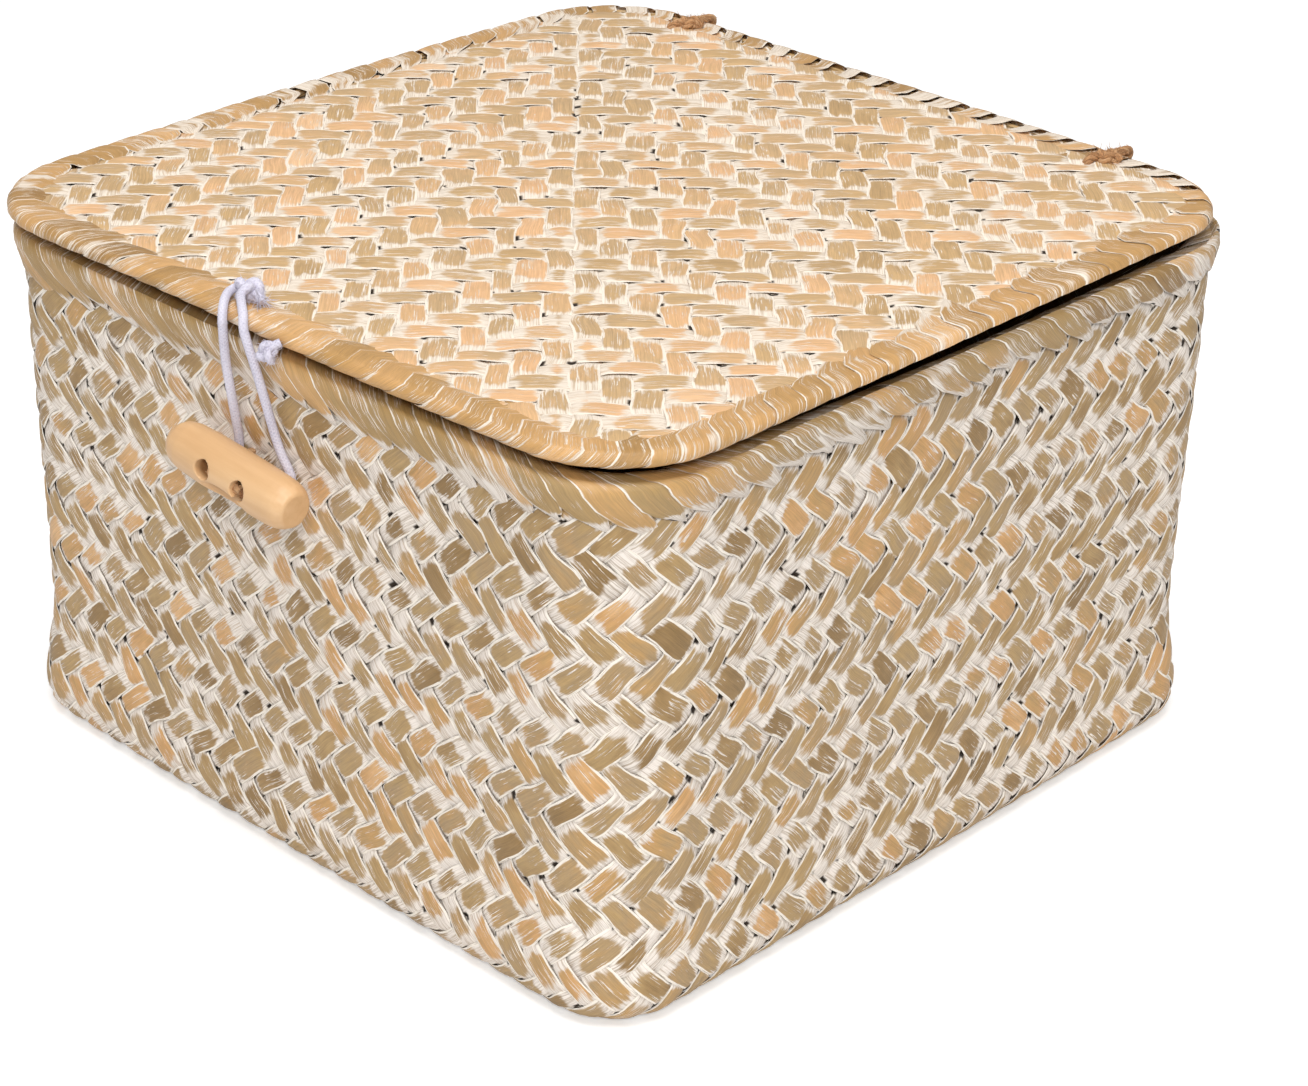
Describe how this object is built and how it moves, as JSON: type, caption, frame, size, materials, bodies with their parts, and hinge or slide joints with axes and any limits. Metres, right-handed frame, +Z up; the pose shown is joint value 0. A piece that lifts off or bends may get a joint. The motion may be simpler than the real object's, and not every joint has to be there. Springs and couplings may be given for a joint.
{
  "type": "woven lidded box",
  "caption": "Square box of plaited natural stalks with rounded corners, a flat plaited lid tied on with twine at the back, and a wooden toggle with an elastic loop at the front.",
  "frame": {"origin": "middle of the flat underside of the body, on the table", "axes": "+X along the front face from left to right, +Y towards the hinge side, +Z up"},
  "size_m": [0.175, 0.187, 0.1143],
  "materials": {
    "wall_strands": "dry flat stalks with streaks of white wash",
    "lining_strands": "dry flat stalks, matt",
    "fold_strands": "dry flat stalks, slightly glossy on the bends",
    "core_stalks": "bundled stalks, matt",
    "lid_strands": "dry flat stalks with thin white wash",
    "twine": "rough plant fibre twine",
    "toggle_wood": "satin pale wood",
    "elastic": "braided cover over elastic"
  },
  "bodies": {
    "box": {"body_outer_weave": "wall_strands", "body_lining_weave": "lining_strands", "body_rim_fold": "fold_strands", "body_rim_core": "core_stalks", "hinge_tie_left": "twine", "hinge_tie_right": "twine", "toggle_lashing": "twine"},
    "lid": {"lid_top_weave": "lid_strands", "lid_lining_weave": "lining_strands", "lid_border_fold": "fold_strands", "lid_border_core": "core_stalks", "elastic_anchor": "elastic", "elastic_end_knot": "elastic"},
    "elastic": {"elastic_loop": "elastic"},
    "toggle": {"toggle": "toggle_wood"}
  },
  "joints": [
    {"name": "lid_hinge", "type": "hinge", "parent": "box", "child": "lid", "pos_m": [0, 0.0867, 0.10555], "axis": [-1, 0, 0], "range_deg": [0, 110], "deforming": ["hinge_tie_left", "hinge_tie_right"]},
    {"name": "elastic_swing", "type": "hinge", "parent": "lid", "child": "elastic", "pos_m": [-0.0045, -0.0888, 0.1078], "axis": [-1, 0, 0], "range_deg": [0, 150], "deforming": ["elastic_loop"]},
    {"name": "toggle_swivel", "type": "hinge", "parent": "box", "child": "toggle", "pos_m": [-0.0008, -0.0921, 0.0817], "axis": [0, -1, 0], "range_deg": [-20, 20], "deforming": ["toggle_lashing"]}
  ]
}
